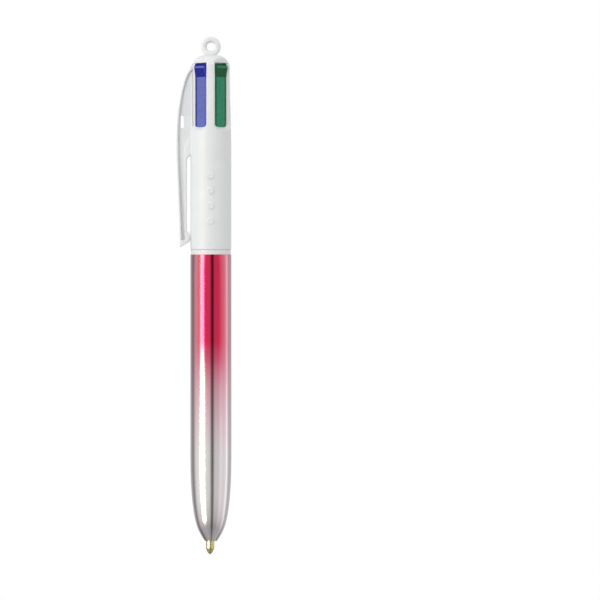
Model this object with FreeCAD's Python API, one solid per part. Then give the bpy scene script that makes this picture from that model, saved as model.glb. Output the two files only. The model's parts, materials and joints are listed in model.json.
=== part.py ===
import FreeCAD, Part
import math
import os

# A retractable pen with four refills.  Millimetres, +Z up, the writing tip at z = 0 and the
# barrel's axis on the Z axis.  The pocket clip points to -X.  The black refill is out and
# latched; the blue, green and red ones are drawn back.
#
# A slider, its spring and its refill share one local layout: local +X points outwards from
# the pen's axis through the middle of the slot, and the layout is turned about Z to its slot.

Vector = FreeCAD.Vector
UP = Vector(0, 0, 1)

# Slots: the direction of each one about the axis, in degrees.
SLOT_ANGLE = {"black": 45, "red": 135, "blue": 225, "green": 315}
EXTENDED = "black"

# Main heights.
TRAVEL = 10.0               # how far a slider goes down
MOUTH_Z = 3.7               # nozzle mouth
JOINT_Z = 83.7              # top of the lower barrel
FLANGE_Z = 85.1             # top of the collar's flange, bottom of the upper barrel
SEAT_Z = 93.7               # underside of the spring seat
SEAT_THICKNESS = 1.55
CHANNEL_Z = 118.6           # the round bore ends here and the four slider channels start
SLOT_LOW_Z = 119.2          # lower end of a slot
SLOT_HIGH_Z = 137.1         # upper end of a slot
DOME_Z = 139.4              # top of the dome
FACET_AT = 4.1              # distance from the axis of the flat that is cut in the dome
RING_Z = 141.8              # middle of the ring's hole

# Radii of the barrel halves.
BARREL_RADIUS = 5.73
BODY_RADIUS = 5.7
FLANGE_RADIUS = 5.56        # the collar's flange is a little slimmer than both halves
SLOT_RIB_RADIUS = 5.25      # the upper barrel is slimmer around the slots
SOCKET_RADIUS = 4.97        # bore that takes the collar and the spring seat
BORE_RADIUS = 4.76          # bore above the spring seat
LOWER_BORE_RADIUS = 4.85
THREAD_BORE_RADIUS = 5.2
MOUTH_RADIUS = 1.73
MOUTH_BORE_RADIUS = 1.53

# Refill.
REFILL_RADIUS_AT = 2.9      # how far each refill stands from the pen's axis
TUBE_RADIUS = 1.4
TUBE_BORE = 0.95
TIP_LENGTH = 10.0           # brass outside the tube
SHANK_RADIUS = 1.15
CONE_LENGTH = 1.6
CONE_END_RADIUS = 0.62
BALL_RADIUS = 0.5
PIVOT_Z = 105.3             # where an extended refill leans from, on its slider's peg
TUBE_ABOVE_PIVOT = 1.9
TIP_OVERSHOOT = 0.35        # an extended tip leans this far past the axis

# Slider.
SLAB_FACE = 3.9             # distance of the front face from the axis
SLAB_BACK = 2.75
SLAB_HALF_WIDTH = 2.2
FACE_HALF_WIDTH = 1.6       # flat middle strip of the front face
BEVEL_FACE = 3.72           # where the strips beside it have sloped back to
SLIDER_TOP_Z = 136.9
HEAD_LOW_Z = 133.2
SHOULDER_Z = 117.3
PEG_LENGTH = 4.0
PEG_RADIUS = 0.85
BOSS_RADIUS = 1.7

# Spring.
WIRE_RADIUS = 0.13
COIL_RADIUS = 1.62
SPRING_TURNS = 11
SPRING_GAP = 0.05           # play at each end of the spring

# Spring seat and latch post.
SEAT_HOLE_RADIUS = 1.66
SEAT_HOLE_AT = 2.71         # nearer the axis than the refill, which leans inwards when it is out
POST_RADIUS = 0.75
LEDGE_RADIUS = 1.15

# Clip.
CLIP_PIVOT = Vector(-8.05, 0, 112.0)
KNUCKLE_RADIUS = 1.6
KNUCKLE_GAP = 0.06
CLIP_TOP_WIDTH = 2.0
CLIP_END_WIDTH = 3.3
CLIP_WEB = 1.2              # thickness left between the pockets in the clip's sides
CLIP_RIM = 0.5

# Ring.
RING_RADIUS = 2.7
RING_WIDTH = 3.5
RING_HOLE = 1.2


def polygon_face(points):
    """A flat face through the given points."""
    return Part.Face(Part.makePolygon(points + [points[0]]))


def rz(radius, z):
    """A point of a profile that is turned about the pen's axis."""
    return Vector(radius, 0, z)


def turned(edges):
    """The solid of a closed profile turned about the pen's axis."""
    face = Part.Face(Part.Wire(Part.__sortEdges__(edges)))
    return face.revolve(Vector(0, 0, 0), UP, 360)


def lines(points):
    """Straight edges from each point to the next."""
    return [Part.makeLine(a, b) for a, b in zip(points, points[1:])]


def turned_polygon(pairs):
    """A turned solid whose profile has only straight sides."""
    points = [rz(radius, z) for radius, z in pairs]
    return turned(lines(points + [points[0]]))


def cylinder(radius, low, high, x=0.0):
    """An upright cylinder that stands at x on the X axis."""
    return Part.makeCylinder(radius, high - low, Vector(x, 0, low))


def slab_along_y(points, half_width):
    """A profile of (x, z) points made into a prism that is centred on y = 0."""
    face = polygon_face([Vector(x, -half_width, z) for x, z in points])
    return face.extrude(Vector(0, 2 * half_width, 0))


def slab_along_z(points, low, high):
    """A profile of (x, y) points made into an upright prism."""
    face = polygon_face([Vector(x, y, low) for x, y in points])
    return face.extrude(Vector(0, 0, high - low))


def to_slot(shape, colour):
    """The shape turned about the pen's axis from the local layout to its slot."""
    return shape.rotated(Vector(0, 0, 0), UP, SLOT_ANGLE[colour])


def tip_to_pivot():
    """The distance from a refill's writing point to its pivot."""
    return math.hypot(PIVOT_Z, REFILL_RADIUS_AT + TIP_OVERSHOOT)


def leaned(shape):
    """The shape leaned inwards about the pivot on its slider's peg, as an extended refill is."""
    angle = math.degrees(math.asin((REFILL_RADIUS_AT + TIP_OVERSHOOT) / tip_to_pivot()))
    return shape.rotated(Vector(REFILL_RADIUS_AT, 0, PIVOT_Z), Vector(0, 1, 0), angle)


def lift(colour):
    """How far a slider stands above its pressed place."""
    return 0.0 if colour == EXTENDED else TRAVEL


def to_refill_place(shape, colour):
    """Leans an extended refill's piece, or raises a retracted one's, and turns it to its slot."""
    if colour == EXTENDED:
        placed = leaned(shape)
    else:
        placed = shape.translated(Vector(0, 0, TRAVEL))
    return to_slot(placed, colour)


# ---------------------------------------------------------------- barrel


def upper_barrel_outside():
    """The outside of the upper barrel as a solid: a tube that slims upwards to a dome."""
    taper_low = rz(BODY_RADIUS, 112.0)
    taper_high = rz(SLOT_RIB_RADIUS, 136.6)
    taper = Part.BSplineCurve()
    taper.interpolate([taper_low, rz(5.4, 126.5), taper_high], InitialTangent=UP, FinalTangent=UP)
    dome = Part.Arc(taper_high, rz(4.4, 138.15), rz(1.7, DOME_Z)).toShape()
    base = [rz(0, FLANGE_Z), rz(BODY_RADIUS, FLANGE_Z), taper_low]
    top = [rz(1.7, DOME_Z), rz(0, DOME_Z), rz(0, FLANGE_Z)]
    return turned(lines(base) + [taper.toShape(), dome] + lines(top))


def slot_cutter():
    """One slot and the channel behind it, in the local layout."""
    clearance = 0.07
    half = SLAB_HALF_WIDTH + clearance
    floor = SLAB_FACE + clearance
    outside = 6.5
    flare = 1.8                                  # sideways run of the bevel per unit of depth
    wide = half + flare * (outside - floor)
    channel = slab_along_z([(0, -half), (floor, -half), (floor, half), (0, half)],
                           CHANNEL_Z, SLOT_HIGH_Z)
    sides = slab_along_z([(floor, -half), (outside, -wide), (outside, wide), (floor, half)],
                         SLOT_LOW_Z - 3, SLOT_HIGH_Z + 3)
    ends = slab_along_y([(floor, SLOT_LOW_Z), (outside, SLOT_LOW_Z - 1.5),
                         (outside, SLOT_HIGH_Z + 1.9), (floor, SLOT_HIGH_Z)], wide + 1)
    window = sides.common(ends)
    window = window.makeFillet(1.4, slanted_edges(window, SLOT_LOW_Z))
    window = window.makeFillet(0.5, slanted_edges(window, SLOT_HIGH_Z))
    return channel.fuse(window)


def slanted_edges(window, end_z):
    """The two corner edges at one end of a slot, where a side meets the end."""
    corners = []
    for edge in window.Edges:
        low_x, high_x = edge.BoundBox.XMin, edge.BoundBox.XMax
        if high_x - low_x > 1 and abs(edge.CenterOfMass.z - end_z) < 2 and edge.BoundBox.YLength > 1:
            corners.append(edge)
    return corners


def dome_facet():
    """The cutter of the flat in the dome above a slot, in the local layout."""
    foot = SLOT_HIGH_Z + 0.15
    return slab_along_y([(FACET_AT, DOME_Z + 1), (FACET_AT, foot), (5.6, foot - 0.9),
                         (7, foot - 0.9), (7, DOME_Z + 1)], 2.9)


def emblem():
    """Four small raised dots in a row, one for each colour, on the barrel's -Y side."""
    dots = []
    for step in range(4):
        centre = Vector(0, -BODY_RADIUS + 0.4, 93.0 + 4.2 * step)
        dot = Part.makeCylinder(0.95, 0.58, centre, Vector(0, -1, 0))
        dots.append(dot.makeFillet(0.12, [max(dot.Edges, key=lambda edge: -edge.CenterOfMass.y)]))
    return dots


def upper_barrel():
    """The upper barrel: bored and slotted, with the flats in its dome and the raised dots."""
    shell = upper_barrel_outside()
    seat_top = SEAT_Z + SEAT_THICKNESS
    shell = shell.cut(cylinder(SOCKET_RADIUS, FLANGE_Z - 1, seat_top + 0.05))
    shell = shell.cut(cylinder(BORE_RADIUS, seat_top, CHANNEL_Z))
    for colour in SLOT_ANGLE:
        shell = shell.cut(to_slot(slot_cutter(), colour))
        shell = shell.cut(to_slot(dome_facet(), colour))
    shell = shell.cut(cylinder(1.2, SLOT_HIGH_Z - 1, DOME_Z + 1))
    return shell.multiFuse(emblem())


def threaded_collar():
    """The joint between the halves: a flange that shows, a plain spigot and a threaded one."""
    bore = 4.45
    spigot = 4.93
    collar = turned_polygon([(bore, 76.2), (4.8, 76.2), (spigot, 76.5), (spigot, JOINT_Z),
                             (FLANGE_RADIUS, JOINT_Z), (FLANGE_RADIUS, FLANGE_Z - 0.12),
                             (FLANGE_RADIUS - 0.12, FLANGE_Z), (spigot, FLANGE_Z),
                             (spigot, SEAT_Z), (bore, SEAT_Z)])
    return collar.fuse(thread_ridge(spigot))


def thread_ridge(root_radius):
    """A triangular ridge wound round the collar's lower spigot."""
    pitch = 1.5
    start = 77.0
    helix = Part.makeHelix(pitch, 3.5 * pitch, root_radius)
    helix.translate(Vector(0, 0, start))
    section = Part.makePolygon([Vector(root_radius - 0.05, 0, start - 0.4),
                                Vector(root_radius + 0.2, 0, start),
                                Vector(root_radius - 0.05, 0, start + 0.4),
                                Vector(root_radius - 0.05, 0, start - 0.4)])
    sweep = Part.Wire(helix).makePipeShell([section], True, True)
    return Part.Solid(sweep) if sweep.ShapeType == "Shell" else sweep


def lower_barrel():
    """A straight tube that closes in a long rounded nose with an open mouth."""
    nose = Part.BSplineCurve()
    nose_top = rz(BARREL_RADIUS, 29.0)
    mouth = rz(MOUTH_RADIUS, MOUTH_Z)
    nose.interpolate([nose_top, rz(5.42, 17.5), rz(4.68, 11.1), rz(3.55, 6.9), mouth],
                     InitialTangent=Vector(0, 0, -1), FinalTangent=Vector(-0.62, 0, -0.78))
    outside = [nose_top, rz(BARREL_RADIUS, JOINT_Z - 0.15),
               rz(BARREL_RADIUS - 0.15, JOINT_Z), rz(THREAD_BORE_RADIUS, JOINT_Z)]
    inside = [rz(THREAD_BORE_RADIUS, JOINT_Z), rz(THREAD_BORE_RADIUS, 75.8),
              rz(LOWER_BORE_RADIUS, 75.4), rz(LOWER_BORE_RADIUS, 28.0), rz(4.62, 19.0),
              rz(4.17, 11.6), rz(MOUTH_BORE_RADIUS, MOUTH_Z), mouth]
    return turned([nose.toShape()] + lines(outside) + lines(inside))


def lanyard_ring():
    """The ring on top, with a neck and a stem that plugs into the dome."""
    half = RING_WIDTH / 2
    stem_radius = 1.17
    ring = Part.makeCylinder(RING_RADIUS, RING_WIDTH, Vector(0, -half, RING_Z), Vector(0, 1, 0))
    rims = [edge for edge in ring.Edges if abs(abs(edge.CenterOfMass.y) - half) < 0.01]
    ring = ring.makeFillet(0.6, rims)
    neck = turned_polygon([(0, DOME_Z), (1.7, DOME_Z), (1.45, 140.6), (0, 140.6)])
    stem = cylinder(stem_radius, SLOT_HIGH_Z + 0.1, DOME_Z + 0.2)
    ring = ring.multiFuse([neck, stem])
    beside_stem = cylinder(6.0, DOME_Z - 3, DOME_Z).cut(cylinder(stem_radius, DOME_Z - 4, DOME_Z))
    ring = ring.cut(beside_stem)
    hole = Part.makeCylinder(RING_HOLE, RING_WIDTH + 2, Vector(0, -half - 1, RING_Z), Vector(0, 1, 0))
    ring = ring.cut(hole)
    for side in (-1, 1):
        countersink = Part.makeCone(RING_HOLE, RING_HOLE + 0.8, 0.8,
                                    Vector(0, side * (half - 0.45), RING_Z), Vector(0, side, 0))
        ring = ring.cut(countersink)
    return ring


# ---------------------------------------------------------------- inside


def spring_seat():
    """The plate that carries the four springs and guides the refills."""
    top = SEAT_Z + SEAT_THICKNESS
    plate = cylinder(4.93, SEAT_Z, top)
    for colour in SLOT_ANGLE:
        guide = cylinder(SEAT_HOLE_RADIUS, SEAT_Z - 1, top + 1, SEAT_HOLE_AT)
        plate = plate.cut(to_slot(guide, colour))
    return plate.cut(cylinder(POST_RADIUS + 0.02, SEAT_Z - 1, top + 1))


def latch_post():
    """The centre post, with the cone that frees a latched slider and the ledge that holds it."""
    low = SEAT_Z + 0.2
    return turned_polygon([(0, low), (POST_RADIUS, low), (POST_RADIUS, 126.1), (LEDGE_RADIUS, 126.1),
                           (LEDGE_RADIUS, 126.9), (POST_RADIUS, 128.5),
                           (POST_RADIUS, SLOT_HIGH_Z), (0, SLOT_HIGH_Z)])


def slider():
    """A slider in its raised place: thumb head, long face, latch tooth, boss and peg."""
    face = slab_along_z([(SLAB_BACK, -SLAB_HALF_WIDTH), (BEVEL_FACE, -SLAB_HALF_WIDTH),
                         (SLAB_FACE, -FACE_HALF_WIDTH), (SLAB_FACE, FACE_HALF_WIDTH),
                         (BEVEL_FACE, SLAB_HALF_WIDTH), (SLAB_BACK, SLAB_HALF_WIDTH)],
                        SHOULDER_Z, SLIDER_TOP_Z - 1)
    head = slab_along_y([(SLAB_BACK, HEAD_LOW_Z - 0.8), (BEVEL_FACE, HEAD_LOW_Z - 0.8),
                         (SLAB_FACE, HEAD_LOW_Z), (4.56, 135.7), (4.6, 136.2), (4.3, 136.5),
                         (3.5, SLIDER_TOP_Z), (SLAB_BACK, SLIDER_TOP_Z)], SLAB_HALF_WIDTH)
    front_edges = [edge for edge in head.Edges
                   if edge.Length < 3.5 and edge.CenterOfMass.x > 4.1]
    head = head.makeFillet(0.25, front_edges)
    tooth = slab_along_y([(1.3, 134.4), (SLAB_BACK + 0.1, 133.2), (SLAB_BACK + 0.1, 136.2),
                          (1.3, 135.6)], 0.6)
    boss = cylinder(BOSS_RADIUS, SHOULDER_Z, CHANNEL_Z - 0.3, REFILL_RADIUS_AT)
    peg = cylinder(PEG_RADIUS, SHOULDER_Z - PEG_LENGTH, SHOULDER_Z + 0.2, REFILL_RADIUS_AT)
    return face.multiFuse([head, tooth, boss, peg]).removeSplitter()


def spring(colour):
    """A coil spring round the top of a refill, from the spring seat to the slider's boss."""
    low = SEAT_Z + SEAT_THICKNESS + SPRING_GAP + WIRE_RADIUS + 0.05
    high = SHOULDER_Z - TRAVEL + lift(colour) - SPRING_GAP - WIRE_RADIUS
    length = high - low
    helix = Part.makeHelix(length / SPRING_TURNS, length, COIL_RADIUS)
    section = Part.Wire(Part.makeCircle(WIRE_RADIUS, Vector(COIL_RADIUS, 0, 0), Vector(0, 1, 0)))
    coil = Part.Wire(helix).makePipeShell([section], True, True)
    if coil.ShapeType == "Shell":
        coil = Part.Solid(coil)
    coil.translate(Vector(REFILL_RADIUS_AT, 0, low))
    if colour == EXTENDED:
        coil = leaned(coil)
    return to_slot(coil, colour)


def refill_turned(pairs):
    """A turned piece of a refill.  Heights count from the writing point of a pressed refill."""
    base = PIVOT_Z - tip_to_pivot()
    piece = turned_polygon([(radius, z + base) for radius, z in pairs])
    return piece.translated(Vector(REFILL_RADIUS_AT, 0, 0))


def refill_tube():
    """The ink tube, open at both ends."""
    top = tip_to_pivot() + TUBE_ABOVE_PIVOT
    return refill_turned([(TUBE_BORE, TIP_LENGTH), (1.3, TIP_LENGTH), (TUBE_RADIUS, TIP_LENGTH + 0.3),
                          (TUBE_RADIUS, top - 0.1), (TUBE_RADIUS - 0.1, top), (TUBE_BORE, top)])


def ink_column():
    """The ink, from the plug of the tip up to its free surface."""
    ink = TUBE_BORE - 0.02
    return refill_turned([(0, 14.6), (ink, 14.6), (ink, 88.0), (0, 88.6)])


def refill_tip():
    """The brass tip: a plug inside the tube, a shoulder, a straight shank and a cone."""
    socket = BALL_RADIUS + 0.02
    outline = [(0.35, 1.05), (socket, 0.85), (socket, 0.45), (socket - 0.03, 0.3),
               (CONE_END_RADIUS, 0.42), (SHANK_RADIUS - 0.05, CONE_LENGTH - 0.1),
               (SHANK_RADIUS, CONE_LENGTH + 0.1), (SHANK_RADIUS, TIP_LENGTH - 0.6),
               (1.3, TIP_LENGTH - 0.5), (1.3, TIP_LENGTH - 0.02), (TUBE_BORE - 0.02, TIP_LENGTH - 0.02),
               (TUBE_BORE - 0.02, 14.2), (TUBE_BORE - 0.15, 14.5), (0.35, 14.5)]
    return refill_turned(outline)


def ball():
    """The writing ball, in the socket at the end of the tip."""
    centre_z = PIVOT_Z - tip_to_pivot() + BALL_RADIUS
    return Part.makeSphere(BALL_RADIUS, Vector(REFILL_RADIUS_AT, 0, centre_z))


# ---------------------------------------------------------------- clip


def clip_back():
    """The long outer curve of the clip's side view, from its root down to its free end."""
    curve = Part.BSplineCurve()
    curve.interpolate([Vector(-5.0, 0, 137.3), Vector(-6.9, 0, 133.7), Vector(-8.6, 0, 127.7),
                       Vector(-9.62, 0, 116.0), Vector(-9.2, 0, 102.0), Vector(-8.62, 0, 85.8)])
    return curve


def clip_blank():
    """The side view of the whole clip, from its root on the rib to the nub at its free end."""
    curve = clip_back()
    heel = [curve.EndPoint, Vector(-6.05, 0, 87.3)]
    nub = Part.Arc(heel[1], Vector(-5.86, 0, 88.4), Vector(-6.78, 0, 90.4)).toShape()
    arm = [Vector(-6.78, 0, 90.4), Vector(-6.73, 0, 110.2)]
    web = Part.Arc(arm[1], Vector(-6.3, 0, 111.0), Vector(-5.0, 0, 111.4)).toShape()
    back = [Vector(-5.0, 0, 111.4), curve.StartPoint]
    edges = [curve.toShape(), nub, web] + lines(heel) + lines(arm) + lines(back)
    return Part.Face(Part.Wire(Part.__sortEdges__(edges)))


def clip_pocket():
    """The side view of the pockets: the clip's outline with a rim left all round.
    The rim widens to a solid gusset where the clip leaves the barrel."""
    curve = clip_back()
    rim_points = []
    for step in range(14):
        place = curve.FirstParameter + 0.075 * step * (curve.LastParameter - curve.FirstParameter)
        tangent = curve.tangent(place)[0]
        rim_points.append(curve.value(place) + Vector(-tangent.z, 0, tangent.x) * CLIP_RIM)
    rim = Part.BSplineCurve()
    rim.interpolate(rim_points)
    inner = lines([rim.EndPoint, Vector(-6.95, 0, 87.8), Vector(-7.28, 0, 90.6),
                   Vector(-7.23, 0, 112.6)])
    gusset_top = Vector(-5.5, 0, 116.5)
    gusset = Part.Arc(Vector(-7.23, 0, 112.6), Vector(-6.75, 0, 115.2), gusset_top).toShape()
    top = lines([gusset_top, Vector(-5.0, 0, 116.55), rim.StartPoint])
    return Part.Face(Part.Wire(Part.__sortEdges__([rim.toShape(), gusset] + inner + top)))


def clip_whole():
    """The clip with its width tapered and a shallow pocket in each side."""
    plate = clip_blank().translated(Vector(0, -3, 0)).extrude(Vector(0, 6, 0))
    top = CLIP_TOP_WIDTH / 2
    low = CLIP_END_WIDTH / 2
    taper = polygon_face([Vector(-12, -low, 85), Vector(-12, low, 85),
                          Vector(-12, top, 139), Vector(-12, -top, 139)]).extrude(Vector(9, 0, 0))
    clip = plate.common(taper)
    for low_side in (CLIP_WEB / 2, -CLIP_WEB / 2 - 3):
        clip = clip.cut(clip_pocket().translated(Vector(0, low_side, 0)).extrude(Vector(0, 3, 0)))
    window = slab_along_y([(-8.5, 119.0), (-7.6, 119.0), (-7.6, 122.6), (-8.3, 122.6)], 3)
    corners = [edge for edge in window.Edges if edge.Length > 5]
    clip = clip.cut(window.makeFillet(0.35, corners))
    return clip.cut(upper_barrel_outside())


def knuckle(radius):
    """The round end on which the clip's arm bends."""
    return Part.makeCylinder(radius, 8, CLIP_PIVOT - Vector(0, 4, 0), Vector(0, 1, 0))


def arm_zone(inner_x):
    """The space of the clip's arm: below the knuckle, outwards of inner_x, and all of the nub."""
    below_knuckle = Part.makeBox(inner_x + 12, 8, 40, Vector(-12, -4, CLIP_PIVOT.z - 40))
    nub = Part.makeBox(8, 8, 40, Vector(-12, -4, CLIP_PIVOT.z - 47))
    return below_knuckle.fuse(nub)


def clip_parts():
    """The clip's root, which stays on the barrel, and its arm, which springs outwards."""
    whole = clip_whole()
    inner_x = CLIP_PIVOT.x + KNUCKLE_RADIUS
    arm = whole.common(arm_zone(inner_x)).fuse(whole.common(knuckle(KNUCKLE_RADIUS)))
    root = whole.cut(arm_zone(inner_x + KNUCKLE_GAP)).cut(knuckle(KNUCKLE_RADIUS + KNUCKLE_GAP))
    return root.removeSplitter(), arm.removeSplitter()


# ---------------------------------------------------------------- files


def all_parts():
    """Every part in its place, by name."""
    root, arm = clip_parts()
    parts = {
        "upper_barrel": upper_barrel(),
        "threaded_collar": threaded_collar(),
        "lower_barrel": lower_barrel(),
        "lanyard_ring": lanyard_ring(),
        "latch_post": latch_post(),
        "spring_seat": spring_seat(),
        "clip_root": root,
        "clip_arm": arm,
    }
    for colour in SLOT_ANGLE:
        drop = Vector(0, 0, lift(colour) - TRAVEL)
        parts["slider_" + colour] = to_slot(slider().translated(drop), colour)
        parts["spring_" + colour] = spring(colour)
        parts["refill_tube_" + colour] = to_refill_place(refill_tube(), colour)
        parts["ink_" + colour] = to_refill_place(ink_column(), colour)
        parts["refill_tip_" + colour] = to_refill_place(refill_tip(), colour)
        parts["ball_" + colour] = to_refill_place(ball(), colour)
    return parts


def main():
    """Writes one STEP file for each part."""
    os.makedirs("parts", exist_ok=True)
    for name, shape in all_parts().items():
        if not shape.isValid() or not shape.Solids:
            raise ValueError(name + " is not a valid solid")
        shape.exportStep(os.path.join("parts", name + ".step"))
        print(name, len(shape.Solids), "solid(s)", round(shape.Volume, 2), "mm3")


main()
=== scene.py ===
import math

import bmesh
import bpy
import numpy as np
from mathutils import Matrix, Vector
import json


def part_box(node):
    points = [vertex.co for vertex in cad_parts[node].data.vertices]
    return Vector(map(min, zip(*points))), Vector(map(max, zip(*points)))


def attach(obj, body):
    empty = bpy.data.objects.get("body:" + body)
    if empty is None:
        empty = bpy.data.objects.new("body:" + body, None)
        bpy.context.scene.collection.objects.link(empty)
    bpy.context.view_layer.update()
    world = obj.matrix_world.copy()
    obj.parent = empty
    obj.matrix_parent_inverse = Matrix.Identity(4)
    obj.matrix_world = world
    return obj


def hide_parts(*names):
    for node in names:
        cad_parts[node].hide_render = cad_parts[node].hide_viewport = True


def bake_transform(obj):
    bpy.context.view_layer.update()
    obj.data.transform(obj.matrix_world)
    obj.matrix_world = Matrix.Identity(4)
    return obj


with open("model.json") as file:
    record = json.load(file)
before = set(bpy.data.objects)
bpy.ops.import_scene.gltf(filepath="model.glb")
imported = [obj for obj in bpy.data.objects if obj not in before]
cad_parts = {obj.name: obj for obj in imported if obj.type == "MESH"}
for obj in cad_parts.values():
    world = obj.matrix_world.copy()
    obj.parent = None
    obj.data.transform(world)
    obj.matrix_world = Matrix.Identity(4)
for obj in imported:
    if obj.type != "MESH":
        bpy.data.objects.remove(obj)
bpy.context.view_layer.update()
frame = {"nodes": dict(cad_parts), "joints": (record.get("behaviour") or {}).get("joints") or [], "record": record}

MM = 0.001
COLOURS = ("black", "red", "blue", "green")
JOINTS = {joint["name"]: joint for joint in frame["joints"]}
NODES = frame["nodes"]


# ---------------------------------------------------------------- mesh helpers


def add_object(name, mesh):
    """An object in the scene for a mesh, smooth except at its hard corners."""
    piece = bpy.data.objects.new(name, mesh)
    bpy.context.scene.collection.objects.link(piece)
    mesh.polygons.foreach_set("use_smooth", [True] * len(mesh.polygons))
    mesh.set_sharp_from_angle(angle=math.radians(35))
    return piece


def mesh_from(name, vertices, faces):
    """A mesh from lists of points in metres and faces."""
    mesh = bpy.data.meshes.new(name)
    mesh.from_pydata([tuple(v) for v in vertices], [], faces)
    mesh.validate()
    return mesh


def smooth_path(points, count):
    """Points along the natural cubic spline through the given points, chord by chord."""
    knots = np.array(points, float)
    chord = np.concatenate([[0], np.cumsum(np.linalg.norm(np.diff(knots, axis=0), axis=1))])
    gap = np.diff(chord)
    size = len(knots)
    system = np.eye(size)
    right = np.zeros_like(knots)
    for i in range(1, size - 1):
        system[i, i - 1:i + 2] = gap[i - 1], 2 * (gap[i - 1] + gap[i]), gap[i]
        slope_after = (knots[i + 1] - knots[i]) / gap[i]
        slope_before = (knots[i] - knots[i - 1]) / gap[i - 1]
        right[i] = 6 * (slope_after - slope_before)
    bend = np.linalg.solve(system, right)
    path = []
    for s in np.linspace(0, chord[-1], count):
        i = min(max(int(np.searchsorted(chord, s, side="right")) - 1, 0), size - 2)
        a = (chord[i + 1] - s) / gap[i]
        b = 1 - a
        curve = ((a ** 3 - a) * bend[i] + (b ** 3 - b) * bend[i + 1]) * gap[i] ** 2 / 6
        path.append(a * knots[i] + b * knots[i + 1] + curve)
    return path


def arc_path(first, middle, last, count):
    """Points of the circular arc through three points."""
    (ax, az), (bx, bz), (cx, cz) = first, middle, last
    scale = 2 * (ax * (bz - cz) + bx * (cz - az) + cx * (az - bz))
    sa, sb, sc = ax * ax + az * az, bx * bx + bz * bz, cx * cx + cz * cz
    centre = np.array([(sa * (bz - cz) + sb * (cz - az) + sc * (az - bz)) / scale,
                       (sa * (cx - bx) + sb * (ax - cx) + sc * (bx - ax)) / scale])
    arms = [np.array(p) - centre for p in (first, middle, last)]
    angles = np.unwrap([math.atan2(arm[1], arm[0]) for arm in arms])
    radius = np.linalg.norm(arms[0])
    return [centre + radius * np.array([math.cos(t), math.sin(t)])
            for t in np.linspace(angles[0], angles[2], count)]


def fine_steps(points, longest):
    """The closed outline through the points with no step longer than the given one."""
    outline = []
    for start, end in zip(points, points[1:] + points[:1]):
        start, end = np.array(start), np.array(end)
        steps = max(1, math.ceil(np.linalg.norm(end - start) / longest))
        outline += [start + (end - start) * k / steps for k in range(steps)]
    return outline


def lathe(name, profile, segments=160):
    """A closed (radius, z) profile in millimetres turned about the pen's axis."""
    vertices = []
    for radius, z in profile:
        for k in range(segments):
            turn = 2 * math.pi * k / segments
            vertices.append(Vector((radius * math.cos(turn), radius * math.sin(turn), z)) * MM)
    faces = []
    rows = len(profile)
    for row in range(rows):
        below, above = row * segments, (row + 1) % rows * segments
        for k in range(segments):
            after = (k + 1) % segments
            faces.append((below + k, below + after, above + after, above + k))
    return add_object(name, mesh_from(name, vertices, faces))


def tube_mesh(name, path, radius, sides=10):
    """A round wire along a path in metres, closed at both ends."""
    path = [Vector(p) for p in path]
    vertices, faces = [], []
    normal = None
    for i, point in enumerate(path):
        tangent = (path[min(i + 1, len(path) - 1)] - path[max(i - 1, 0)]).normalized()
        seed = normal if normal else tangent.orthogonal()
        normal = (seed - tangent * seed.dot(tangent)).normalized()
        binormal = tangent.cross(normal)
        for k in range(sides):
            turn = 2 * math.pi * k / sides
            vertices.append(point + (normal * math.cos(turn) + binormal * math.sin(turn)) * radius)
    for i in range(len(path) - 1):
        for k in range(sides):
            after = (k + 1) % sides
            faces.append((i * sides + k, i * sides + after,
                          (i + 1) * sides + after, (i + 1) * sides + k))
    faces.append(tuple(reversed(range(sides))))
    faces.append(tuple(range(len(vertices) - sides, len(vertices))))
    return mesh_from(name, vertices, faces)


def plate_mesh(name, outlines, half_thickness, rounding, inset):
    """A plate with rounded edges from closed (x, z) outlines in millimetres, centred on y = 0.
    The first outline is the outside and the others are holes.  The inset takes material away
    along every outline, and a negative one adds some."""
    curve = bpy.data.curves.new(name, "CURVE")
    curve.dimensions = "2D"
    curve.fill_mode = "BOTH"
    for outline in outlines:
        spline = curve.splines.new("POLY")
        spline.points.add(len(outline) - 1)
        for point, (x, z) in zip(spline.points, outline):
            point.co = (x, z, 0, 1)
        spline.use_cyclic_u = True
    curve.extrude = half_thickness - rounding
    curve.bevel_depth = rounding
    curve.bevel_resolution = 2
    curve.offset = -rounding - inset
    holder = bpy.data.objects.new(name, curve)
    bpy.context.scene.collection.objects.link(holder)
    bpy.context.view_layer.update()
    mesh = bpy.data.meshes.new_from_object(holder.evaluated_get(
        bpy.context.evaluated_depsgraph_get()))
    bpy.data.objects.remove(holder)
    mesh.transform(Matrix.Rotation(math.radians(90), 4, "X"))
    return mesh


def weld(mesh, distance):
    """Joins the vertices of a mesh that are nearer to each other than the distance."""
    shape = bmesh.new()
    shape.from_mesh(mesh)
    bmesh.ops.remove_doubles(shape, verts=shape.verts, dist=distance)
    bmesh.ops.dissolve_degenerate(shape, edges=shape.edges, dist=distance)
    bmesh.ops.triangulate(shape, faces=shape.faces)
    bmesh.ops.recalc_face_normals(shape, faces=shape.faces)
    shape.to_mesh(mesh)
    shape.free()


def union(name, first, second):
    """One closed mesh from two closed meshes in millimetres that run into each other."""
    bodies = []
    for part in (first, second):
        weld(part, 0.0005)
        bodies.append(bpy.data.objects.new(name, part))
        bpy.context.scene.collection.objects.link(bodies[-1])
    join = bodies[0].modifiers.new("join", "BOOLEAN")
    join.operation = "UNION"
    join.solver = "EXACT"
    join.object = bodies[1]
    bpy.context.view_layer.update()
    mesh = bpy.data.meshes.new_from_object(bodies[0].evaluated_get(
        bpy.context.evaluated_depsgraph_get()))
    for body in bodies:
        bpy.data.objects.remove(body)
    weld(mesh, 0.002)
    return mesh


# ---------------------------------------------------------------- node helpers


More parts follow.
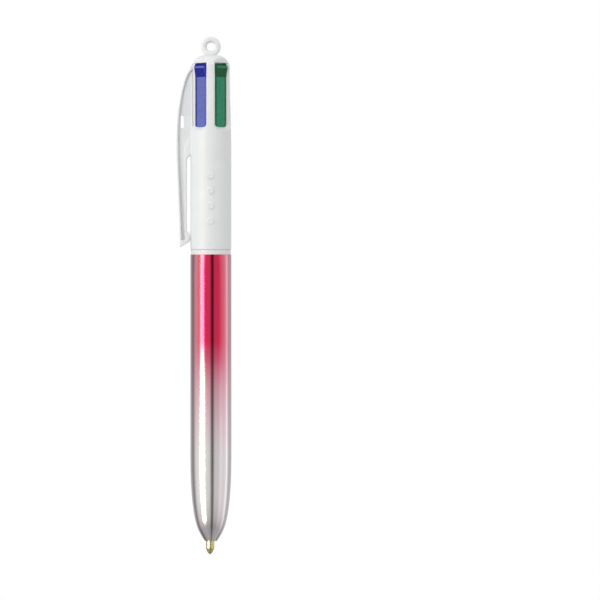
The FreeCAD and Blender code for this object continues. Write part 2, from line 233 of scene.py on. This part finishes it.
class Nodes:
    """A material's node tree with short calls for the nodes that the materials here use."""

    def __init__(self, name):
        self.material = bpy.data.materials.new(name)
        self.material.use_nodes = True
        self.tree = self.material.node_tree
        self.shader = self.tree.nodes["Principled BSDF"]
        self.place = self.tree.nodes.new("ShaderNodeTexCoord").outputs["Object"]

    def link(self, source, target):
        """Joins a node's output to a node's input."""
        self.tree.links.new(source, target)

    def set(self, **values):
        """Sets the shader's own sockets, with an underscore for each space in a socket's name."""
        for key, value in values.items():
            self.shader.inputs[key.replace("_", " ")].default_value = value

    def stretched(self, scale):
        """The position with each axis multiplied by its own factor."""
        mapping = self.tree.nodes.new("ShaderNodeMapping")
        mapping.inputs["Scale"].default_value = scale
        self.link(self.place, mapping.inputs["Vector"])
        return mapping.outputs["Vector"]

    def noise(self, scale, detail=3.0, roughness=0.55, place=None):
        """Smooth noise with about as many bumps to the metre as the scale says."""
        node = self.tree.nodes.new("ShaderNodeTexNoise")
        node.inputs["Scale"].default_value = scale
        node.inputs["Detail"].default_value = detail
        node.inputs["Roughness"].default_value = roughness
        self.link(place or self.place, node.inputs["Vector"])
        return node.outputs["Fac"]

    def ramp(self, source, stops):
        """A colour that follows the source through (position, colour) stops."""
        node = self.tree.nodes.new("ShaderNodeValToRGB")
        elements = node.color_ramp.elements
        while len(elements) < len(stops):
            elements.new(0.5)
        for element, (position, colour) in zip(elements, stops):
            element.position = position
            element.color = (*colour, 1)
        self.link(source, node.inputs["Fac"])
        return node.outputs["Color"]

    def spread(self, source, low, high, source_low=0.3, source_high=0.7):
        """Maps the source's range to low and high; the default range is the one noise fills."""
        node = self.tree.nodes.new("ShaderNodeMapRange")
        node.inputs["From Min"].default_value = source_low
        node.inputs["From Max"].default_value = source_high
        node.inputs["To Min"].default_value = low
        node.inputs["To Max"].default_value = high
        self.link(source, node.inputs["Value"])
        return node.outputs["Result"]

    def maths(self, operation, first, second):
        """A sum or product of two values, each one a node's output or a number."""
        node = self.tree.nodes.new("ShaderNodeMath")
        node.operation = operation
        for socket, value in zip(node.inputs, (first, second)):
            if isinstance(value, (int, float)):
                socket.default_value = value
            else:
                self.link(value, socket)
        return node.outputs["Value"]

    def bump(self, height, distance, soft_edge=0.0):
        """Fine relief of the given depth, and edges that look rounded by the given radius."""
        node = self.tree.nodes.new("ShaderNodeBump")
        node.inputs["Distance"].default_value = distance
        self.link(height, node.inputs["Height"])
        if soft_edge:
            bevel = self.tree.nodes.new("ShaderNodeBevel")
            bevel.samples = 6
            bevel.inputs["Radius"].default_value = soft_edge
            self.link(bevel.outputs["Normal"], node.inputs["Normal"])
        self.link(node.outputs["Normal"], self.shader.inputs["Normal"])

    def mix(self, factor, first, second):
        """A colour between two, each one a node's output or plain numbers."""
        node = self.tree.nodes.new("ShaderNodeMix")
        node.data_type = "RGBA"
        self.link(factor, node.inputs["Factor"])
        # the colour sockets come after those for numbers and vectors
        for socket, colour in zip(node.inputs[6:8], (first, second)):
            if isinstance(colour, tuple):
                socket.default_value = (*colour, 1)
            else:
                self.link(colour, socket)
        return node.outputs[2]

    def painted_sheen_facing(self):
        """0 where the surface is seen square on and 1 where it is seen edge-on; it places the painted sheen."""
        node = self.tree.nodes.new("ShaderNodeLayerWeight")
        return node.outputs["Facing"]

    def faces(self, azimuth):
        """The cosine of the angle between a flat surface's normal and a level direction, which
        is given in degrees from +X towards +Y."""
        normal = self.tree.nodes.new("ShaderNodeNewGeometry").outputs["True Normal"]
        node = self.tree.nodes.new("ShaderNodeVectorMath")
        node.operation = "DOT_PRODUCT"
        self.link(normal, node.inputs[0])
        turn = math.radians(azimuth)
        node.inputs[1].default_value = (math.cos(turn), math.sin(turn), 0)
        return node.outputs["Value"]

    def height_of_z(self):
        """The height in metres above the writing point."""
        node = self.tree.nodes.new("ShaderNodeSeparateXYZ")
        self.link(self.place, node.inputs["Vector"])
        return node.outputs["Z"]


def shade(colour, factor):
    """The colour made lighter or darker."""
    return tuple(min(1.0, channel * factor) for channel in colour)


# ---------------------------------------------------------------- materials


def white_plastic(name):
    """Satin moulded plastic: a faint cloudiness, uneven polish and a slight ripple."""
    nodes = Nodes(name)
    cloud = nodes.noise(160, 4)
    nodes.link(nodes.ramp(cloud, [(0.3, (0.805, 0.81, 0.815)), (0.7, (0.84, 0.845, 0.85))]),
               nodes.shader.inputs["Base Color"])
    nodes.link(nodes.spread(nodes.noise(900, 5, 0.65), 0.36, 0.48),
               nodes.shader.inputs["Roughness"])
    nodes.bump(nodes.noise(420, 2), 0.0025 * MM, soft_edge=0.12 * MM)
    nodes.set(IOR=1.5, Specular_IOR_Level=0.15)
    return nodes.material


def slider_plastic(name, colour, painted_reflection_colour, azimuth):
    """Coloured moulded plastic whose long face, which looks along the azimuth counted from +X towards +Y,
    has a painted reflection: a paler copy of the colour that stands in for the bright room."""
    nodes = Nodes(name)
    cloud = nodes.noise(260, 4)
    body = nodes.ramp(cloud, [(0.3, shade(colour, 0.93)), (0.7, shade(colour, 1.05))])
    # painted reflection: the long face gets a paler colour in place of the bright room it reflects
    face = nodes.ramp(cloud, [(0.3, shade(painted_reflection_colour, 0.95)), (0.7, shade(painted_reflection_colour, 1.04))])
    nearly_square, square = 0.985, 0.997        # cosines that tell the face from what is round it
    painted_reflection_mask = nodes.spread(nodes.faces(azimuth), 0, 1, nearly_square, square)
    nodes.link(nodes.mix(painted_reflection_mask, body, face), nodes.shader.inputs["Base Color"])
    nodes.link(nodes.spread(nodes.noise(900, 4), 0.24, 0.32), nodes.shader.inputs["Roughness"])
    nodes.bump(nodes.noise(600, 2), 0.0012 * MM, soft_edge=0.12 * MM)
    nodes.set(IOR=1.5, Specular_IOR_Level=0.22)
    return nodes.material


def metallised(name):
    """A lacquered mirror finish: raspberry at the joint, silver from below the middle.
    Where the surface is seen edge-on, a painted sheen mixes a pale pink into the base colour."""
    nodes = Nodes(name)
    fade_low, fade_high = 29.5 * MM, 60.5 * MM
    drift = nodes.maths("MULTIPLY", nodes.noise(60, 2), 2 * MM)
    height = nodes.maths("ADD", nodes.height_of_z(), drift)
    level = nodes.spread(height, 0, 1, fade_low, fade_high)
    silver = (0.66, 0.615, 0.625)
    pale_rose = (0.66, 0.475, 0.52)
    rose = (0.63, 0.305, 0.37)
    light_raspberry = (0.62, 0.075, 0.155)
    raspberry = (0.61, 0.002, 0.064)
    colour = nodes.ramp(level, [(0.0, silver), (0.29, pale_rose), (0.565, rose),
                                (0.84, light_raspberry), (1.0, raspberry)])
    # painted sheen: pale pink mixed into the base colour where the barrel turns away from view
    painted_sheen_colour = (0.86, 0.785, 0.84)
    painted_sheen_amount = nodes.spread(nodes.painted_sheen_facing(), 0, 0.48, source_low=0.09, source_high=0.5)
    nodes.link(nodes.mix(painted_sheen_amount, colour, painted_sheen_colour), nodes.shader.inputs["Base Color"])
    streaks = nodes.noise(1, 4, 0.6, nodes.stretched((700, 700, 35)))
    nodes.link(nodes.spread(streaks, 0.13, 0.2), nodes.shader.inputs["Roughness"])
    nodes.bump(nodes.noise(120, 2), 0.0006 * MM)
    nodes.set(Metallic=1.0, Coat_Weight=1.0, Coat_Roughness=0.08, Coat_IOR=1.4)
    return nodes.material


def natural_plastic(name, colour):
    """Unpolished plastic, slightly cloudy and grained."""
    nodes = Nodes(name)
    nodes.link(nodes.ramp(nodes.noise(300, 4), [(0.3, shade(colour, 0.9)), (0.7, colour)]),
               nodes.shader.inputs["Base Color"])
    nodes.link(nodes.spread(nodes.noise(1500, 4), 0.4, 0.6), nodes.shader.inputs["Roughness"])
    nodes.bump(nodes.noise(3500, 3), 0.006 * MM, soft_edge=0.1 * MM)
    return nodes.material


def refill_plastic(name):
    """A thin translucent tube, faintly streaked along its length."""
    nodes = Nodes(name)
    streaks = nodes.noise(1, 3, 0.5, nodes.stretched((1800, 1800, 60)))
    nodes.link(nodes.ramp(streaks, [(0.3, (0.88, 0.9, 0.88)), (0.7, (0.95, 0.96, 0.95))]),
               nodes.shader.inputs["Base Color"])
    nodes.link(nodes.spread(streaks, 0.06, 0.14), nodes.shader.inputs["Roughness"])
    nodes.bump(streaks, 0.001 * MM)
    nodes.set(Transmission_Weight=0.93, IOR=1.25)
    return nodes.material


def ink(name, colour):
    """Ink paste that wets the inside of its tube unevenly."""
    nodes = Nodes(name)
    smear = nodes.noise(1, 4, 0.6, nodes.stretched((1200, 1200, 160)))
    nodes.link(nodes.ramp(smear, [(0.35, colour), (0.75, shade(colour, 1.6))]),
               nodes.shader.inputs["Base Color"])
    nodes.link(nodes.spread(smear, 0.15, 0.35), nodes.shader.inputs["Roughness"])
    nodes.bump(smear, 0.01 * MM)
    return nodes.material


def turned_metal(name, colour, dark, roughness, ring_scale):
    """Bare metal with fine rings left by turning or drawing, and a little tarnish."""
    nodes = Nodes(name)
    tarnish = nodes.noise(700, 5, 0.6)
    nodes.link(nodes.ramp(tarnish, [(0.35, dark), (0.6, colour)]),
               nodes.shader.inputs["Base Color"])
    rings = nodes.noise(1, 2, 0.5, nodes.stretched((40, 40, ring_scale)))
    nodes.link(nodes.spread(rings, roughness, roughness + 0.12),
               nodes.shader.inputs["Roughness"])
    nodes.bump(rings, 0.003 * MM, soft_edge=0.04 * MM)
    nodes.set(Metallic=1.0)
    return nodes.material


MATERIALS = {
    "white_plastic": white_plastic("white_moulded_plastic"),
    "barrel_metallised": metallised("metallised_lacquer"),
    "inner_plastic": natural_plastic("natural_inner_plastic", (0.78, 0.78, 0.74)),
    # each slider's second colour is the painted reflection on its long face
    "slider_black": slider_plastic("black_slider_plastic", (0.012, 0.012, 0.014),
                                   (0.07, 0.07, 0.08), 45),
    "slider_red": slider_plastic("red_slider_plastic", (0.62, 0.006, 0.008),
                                 (0.74, 0.28, 0.30), 135),
    "slider_blue": slider_plastic("blue_slider_plastic", (0.005, 0.011, 0.27),
                                  (0.12, 0.145, 0.44), 225),
    "slider_green": slider_plastic("green_slider_plastic", (0.002, 0.098, 0.026),
                                   (0.02, 0.25, 0.13), 315),
    "spring_steel": turned_metal("spring_wire", (0.66, 0.66, 0.68), (0.45, 0.45, 0.47), 0.2, 9000),
    "refill_plastic": refill_plastic("translucent_refill_plastic"),
    "ink_black": ink("black_ink", (0.012, 0.012, 0.016)),
    "ink_red": ink("red_ink", (0.55, 0.012, 0.02)),
    "ink_blue": ink("blue_ink", (0.015, 0.03, 0.4)),
    "ink_green": ink("green_ink", (0.01, 0.2, 0.07)),
    "brass_tip": turned_metal("turned_brass", (0.64, 0.55, 0.28), (0.54, 0.45, 0.21), 0.2, 14000),
    "ball_carbide": turned_metal("ball_carbide", (0.5, 0.5, 0.52), (0.4, 0.4, 0.42), 0.08, 3000),
}


def dress(piece, slot):
    """Gives a piece the material of one of the record's slots."""
    piece.data.materials.clear()
    piece.data.materials.append(MATERIALS[slot])


def dress_frame():
    """Gives every CAD node the material of its slot."""
    for part in frame["record"]["subparts"]:
        node = NODES[part["node"]]
        for material_slot in node.material_slots:
            material_slot.material = MATERIALS[part["material_slot"]]


# ---------------------------------------------------------------- lower barrel


def build_lower_barrel():
    """The lower barrel as a finely turned tube that closes in a rounded nose."""
    low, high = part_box("lower_barrel")
    radius = high.x / MM
    top = high.z / MM
    mouth = low.z / MM
    straight_from = 29.0
    nose = smooth_path([(1.73, mouth), (3.55, 6.9), (4.68, 11.1), (5.42, 17.5),
                        (radius, straight_from), (radius, straight_from + 5)], 60)
    nose = [p for p in nose if p[1] < straight_from and p[0] <= radius]
    nose.append((radius, straight_from))
    wall = [(radius, straight_from + step) for step in range(6, 54, 6)]
    edge = 0.16
    rim = [(radius, top - edge), (radius - 0.05, top - 0.04), (radius - edge, top), (5.22, top)]
    bore = [(5.2, top - 0.03), (5.2, 75.8), (4.85, 75.4), (4.85, 28.0), (4.62, 19.0),
            (4.17, 11.6), (1.58, mouth + 0.1), (1.53, mouth)]
    barrel = lathe("lower_barrel_shell", nose + wall + rim + bore)
    dress(barrel, "barrel_metallised")
    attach(barrel, "lower_barrel")
    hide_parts("lower_barrel")


# ---------------------------------------------------------------- clip

# The side view's (x, z) in millimetres, down the clip's back from the dome to the free end.
CLIP_BACK = [(-5.0, 137.3), (-6.9, 133.7), (-8.6, 127.7), (-9.62, 116.0), (-9.2, 102.0),
             (-8.62, 85.8)]
CLIP_RIM = 0.5                  # how wide the rim is in the side view
WEB_HALF = 0.6                  # half the thickness of the web between the rims


def clip_half_width(z):
    """Half the clip's width: 1 mm at the top and 1.65 mm at the free end."""
    return 1.0 + 0.65 * (139.0 - z) / 54.0


def clip_outline():
    """The clip's side view with the nub at its free end."""
    back = smooth_path(CLIP_BACK, 110)
    nub = arc_path((-6.05, 87.3), (-5.86, 88.4), (-6.78, 90.4), 14)
    web = arc_path((-6.73, 110.2), (-6.3, 111.0), (-5.0, 111.4), 10)
    return fine_steps(back + nub + web, 0.5)


def pocket_outline():
    """The recess in each side, which leaves a rim and a solid gusset at the barrel."""
    back = smooth_path(CLIP_BACK, 110)
    moved = []
    for before, here, after in zip(back, back[1:], back[2:]):
        along = (after - before) / np.linalg.norm(after - before)
        moved.append(here + CLIP_RIM * np.array([-along[1], along[0]]))
    lowest, highest = 87.3, 134.9
    moved = [p for p in moved if lowest < p[1] < highest]
    inner = [(-6.95, 87.8), (-7.2, 89.4), (-7.28, 91.0)]
    gusset = arc_path((-7.23, 112.6), (-6.75, 115.2), (-5.5, 116.5), 14)
    barrel_side = [(-5.15, 116.53), (-5.15, 135.2)]
    return fine_steps(moved + inner + gusset + barrel_side, 0.5)


def slot_outline(low_x, high_x, low_z, high_z, corner, count=5):
    """An upright rectangle with round corners."""
    outline = []
    corners = [(high_x - corner, high_z - corner, 0), (low_x + corner, high_z - corner, 90),
               (low_x + corner, low_z + corner, 180), (high_x - corner, low_z + corner, 270)]
    for x, z, start in corners:
        for k in range(count + 1):
            turn = math.radians(start + 90 * k / count)
            outline.append((x + corner * math.cos(turn), z + corner * math.sin(turn)))
    return outline


def build_clip():
    """The pocket clip in one piece: a rimmed plate that bends where the arm leaves the root."""
    rim = plate_mesh("clip_rim", [clip_outline(), pocket_outline()], half_thickness=1.0,
                     rounding=0.1, inset=0.0)
    for vertex in rim.vertices:
        vertex.co.y *= clip_half_width(vertex.co.z)
    window = slot_outline(low_x=-8.7, high_x=-7.35, low_z=118.75, high_z=122.85, corner=0.6)
    web = plate_mesh("clip_web", [pocket_outline(), window], WEB_HALF, rounding=0.08,
                     inset=-0.25)
    mesh = union("pocket_clip", rim, web)
    mesh.transform(Matrix.Scale(MM, 4))
    clip = add_object("pocket_clip", mesh)
    dress(clip, "white_plastic")
    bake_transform(clip)
    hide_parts("clip_root", "clip_arm")


# ---------------------------------------------------------------- springs


def spring_path(low, high, radius, turns=11, steps=36):
    """A coil's centre line, with its first and last turns wound close."""
    count = turns * steps
    close_turns = 0.9           # at each end
    easing_turns = 0.8          # from close winding to open winding
    close_climb = 0.16          # how steep a close turn is, beside an open one
    climb = []
    for k in range(count):
        turn = k / steps
        from_end = min(turn, turns - turn)
        opened = min(max((from_end - close_turns) / easing_turns, 0.0), 1.0)
        climb.append(close_climb + (1 - close_climb) * opened)
    heights = np.concatenate([[0], np.cumsum(climb)])
    heights = low + (high - low) * heights / heights[-1]
    return [Vector((radius * math.cos(2 * math.pi * k / steps),
                    radius * math.sin(2 * math.pi * k / steps), z))
            for k, z in enumerate(heights)]


def build_spring(colour):
    """The return spring round a refill.
    Its foot stands a little nearer the pen's axis, so the refill can lean inside it."""
    wire = 0.12 * MM
    coil = 1.69 * MM
    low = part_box("spring_seat")[1].z + 0.05 * MM
    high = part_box("spring_" + colour)[1].z - 0.06 * MM
    pivot = Vector(JOINTS["refill_%s_lean" % colour]["pos_m"])
    outwards = Vector((pivot.x, pivot.y, 0)).normalized()
    foot_shift = 0.153 * MM
    path = []
    for point in spring_path(low + wire, high - wire, coil):
        from_top = (high - point.z) / (high - low)
        centre = Vector((pivot.x, pivot.y, 0)) - outwards * foot_shift * from_top
        path.append(point + centre)
    spring = add_object("return_spring_" + colour, tube_mesh("spring_" + colour, path, wire))
    dress(spring, "spring_steel")
    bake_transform(spring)
    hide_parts("spring_" + colour)


# ---------------------------------------------------------------- studio

VIEW_WIDTH = 0.1677             # width of the view at the pen
CAMERA_DISTANCE = 1.4
CAMERA_SIDE = 0.0249            # the pen stands left of the view's middle
CAMERA_HEIGHT = 0.0710
FLOOR_Z = -0.1                  # low enough for the lower barrel to be drawn off above it
LIT_MIDDLE = Vector((0, 0, 0.07))


def build_camera():
    """A long lens at the pen's side, level with its middle."""
    data = bpy.data.cameras.new("camera")
    data.sensor_width = 36
    data.lens = data.sensor_width * CAMERA_DISTANCE / VIEW_WIDTH
    camera = bpy.data.objects.new("camera", data)
    camera.location = (CAMERA_SIDE, -CAMERA_DISTANCE, CAMERA_HEIGHT)
    camera.rotation_euler = (math.radians(90), 0, 0)
    bpy.context.scene.collection.objects.link(camera)
    bpy.context.scene.camera = camera


def soft_box(name, azimuth, distance, height, size, power, colour, on_matt, in_gloss):
    """A soft light that faces the pen; azimuth 0 is the camera's side and 90 is +X."""
    data = bpy.data.lights.new(name, "AREA")
    data.shape = "RECTANGLE"
    data.size, data.size_y = size
    data.energy = power
    data.color = colour
    light = bpy.data.objects.new(name, data)
    turn = math.radians(azimuth)
    light.location = (distance * math.sin(turn), -distance * math.cos(turn), height)
    aim = LIT_MIDDLE - light.location
    light.rotation_euler = aim.to_track_quat("-Z", "Y").to_euler()
    light.visible_camera = False
    light.visible_diffuse = on_matt
    light.visible_glossy = in_gloss
    bpy.context.scene.collection.objects.link(light)


def build_floor():
    """A wide pale floor that brightens to the white of the background far from the pen."""
    reach = 60.0
    corners = [(-reach, -reach, FLOOR_Z), (reach, -reach, FLOOR_Z),
               (reach, reach, FLOOR_Z), (-reach, reach, FLOOR_Z)]
    floor = add_object("floor", mesh_from("floor", corners, [(0, 1, 2, 3)]))
    nodes = Nodes("pale_floor")
    nodes.link(nodes.ramp(nodes.noise(30, 3), [(0.3, (0.86, 0.86, 0.86)), (0.7, (0.9, 0.9, 0.9))]),
               nodes.shader.inputs["Base Color"])
    nodes.set(Roughness=0.85)
    length = nodes.tree.nodes.new("ShaderNodeVectorMath")
    length.operation = "LENGTH"
    nodes.link(nodes.place, length.inputs[0])
    glow = nodes.tree.nodes.new("ShaderNodeEmission")
    mixer = nodes.tree.nodes.new("ShaderNodeMixShader")
    far = nodes.spread(length.outputs["Value"], 0, 1, source_low=0.25, source_high=0.9)
    nodes.link(far, mixer.inputs["Fac"])
    nodes.link(nodes.shader.outputs["BSDF"], mixer.inputs[1])
    nodes.link(glow.outputs["Emission"], mixer.inputs[2])
    nodes.link(mixer.outputs["Shader"], nodes.tree.nodes["Material Output"].inputs["Surface"])
    floor.data.materials.append(nodes.material)
    floor.visible_glossy = False
    floor.visible_diffuse = False
    floor.visible_shadow = False


# The walls, boxes and gaps that stand round the pen: two edges in degrees of azimuth, with 0
# at the camera's side and 90 at +X, and a brightness.  Each one fades into the next.
STUDIO_RING = [
    (-180, -142, 0.5),          # back wall, left half
    (-124, -115, 0.28),         # gap beside the left wall
    (-91, -70, 0.95),           # left wall
    (-60, -42, 1.05),           # left box
    (-28, -6, 0.92),            # left of the camera
    (7, 11, 0.06),              # dark gap beside the camera
    (22, 45, 0.83),             # right of the camera
    (55, 64, 1.05),             # right box
    (70, 92, 0.93),             # right wall
    (97, 102, 1.3),             # right edge strip
    (118, 180, 0.55)]           # back wall, right half


def fill_ring(elements, brightest):
    """Sets a ramp's stops from the studio ring, once round from -180 to 180 degrees."""
    stops = [(edge, level) for first, last, level in STUDIO_RING for edge in (first, last)]
    while len(elements) < len(stops):
        elements.new(0.5)
    for element, (azimuth, level) in zip(elements, stops):
        element.position = (azimuth + 180) / 360
        element.color = (level / brightest,) * 3 + (1,)


def build_world():
    """White behind the pen; what lights the pen and shows in its gloss is a ring of soft boxes,
    which is half as bright well below the pen."""
    world = bpy.data.worlds.new("studio")
    bpy.context.scene.world = world
    world.use_nodes = True
    tree = world.node_tree

    def add(kind, **settings):
        node = tree.nodes.new(kind)
        for key, value in settings.items():
            setattr(node, key, value)
        return node

    place = add("ShaderNodeTexCoord")
    split = add("ShaderNodeSeparateXYZ")
    flip = add("ShaderNodeMath", operation="MULTIPLY")
    flip.inputs[1].default_value = -1
    angle = add("ShaderNodeMath", operation="ARCTAN2")
    span = add("ShaderNodeMapRange")
    span.inputs["From Min"].default_value = -math.pi
    span.inputs["From Max"].default_value = math.pi
    ramp = add("ShaderNodeValToRGB")
    brightest = max(level for first, last, level in STUDIO_RING)
    fill_ring(ramp.color_ramp.elements, brightest)
    soft_boxes = tree.nodes["Background"]
    white = add("ShaderNodeBackground")
    white.inputs["Color"].default_value = (1, 1, 1, 1)
    rays = add("ShaderNodeLightPath")
    mixer = add("ShaderNodeMixShader")
    below = add("ShaderNodeMapRange")
    below.inputs["From Min"].default_value = -0.6
    below.inputs["From Max"].default_value = -0.2
    below.inputs["To Min"].default_value = 0.5 * brightest
    below.inputs["To Max"].default_value = brightest
    links = [(place.outputs["Generated"], split.inputs["Vector"]),
             (split.outputs["Z"], below.inputs["Value"]),
             (below.outputs["Result"], soft_boxes.inputs["Strength"]),
             (split.outputs["Y"], flip.inputs[0]),
             (split.outputs["X"], angle.inputs[0]),
             (flip.outputs["Value"], angle.inputs[1]),
             (angle.outputs["Value"], span.inputs["Value"]),
             (span.outputs["Result"], ramp.inputs["Fac"]),
             (ramp.outputs["Color"], soft_boxes.inputs["Color"]),
             (rays.outputs["Is Camera Ray"], mixer.inputs["Fac"]),
             (soft_boxes.outputs["Background"], mixer.inputs[1]),
             (white.outputs["Background"], mixer.inputs[2]),
             (mixer.outputs["Shader"], tree.nodes["World Output"].inputs["Surface"])]
    for source, target in links:
        tree.links.new(source, target)


def build_studio():
    """The camera, the floor, the ring of soft boxes, a strip for the gloss and two plain fills."""
    build_camera()
    build_floor()
    build_world()
    bpy.context.scene.view_settings.view_transform = "Standard"
    soft_box("highlight_strip", azimuth=-48, distance=0.7, height=0.07, size=(0.26, 0.8),
             power=8.25, colour=(0.92, 1, 0.55), on_matt=False, in_gloss=True)
    soft_box("left_fill", azimuth=-45, distance=0.9, height=0.45, size=(0.6, 0.6),
             power=3.2, colour=(1, 1, 1), on_matt=True, in_gloss=False)
    soft_box("back_fill", azimuth=160, distance=0.9, height=0.45, size=(0.6, 0.6),
             power=2.2, colour=(1, 1, 1), on_matt=True, in_gloss=False)


# ---------------------------------------------------------------- the whole scene


def main():
    """Builds the studio, gives the CAD nodes their materials and adds the finer pieces."""
    build_studio()
    dress_frame()
    build_lower_barrel()
    build_clip()
    for colour in COLOURS:
        build_spring(colour)


main()
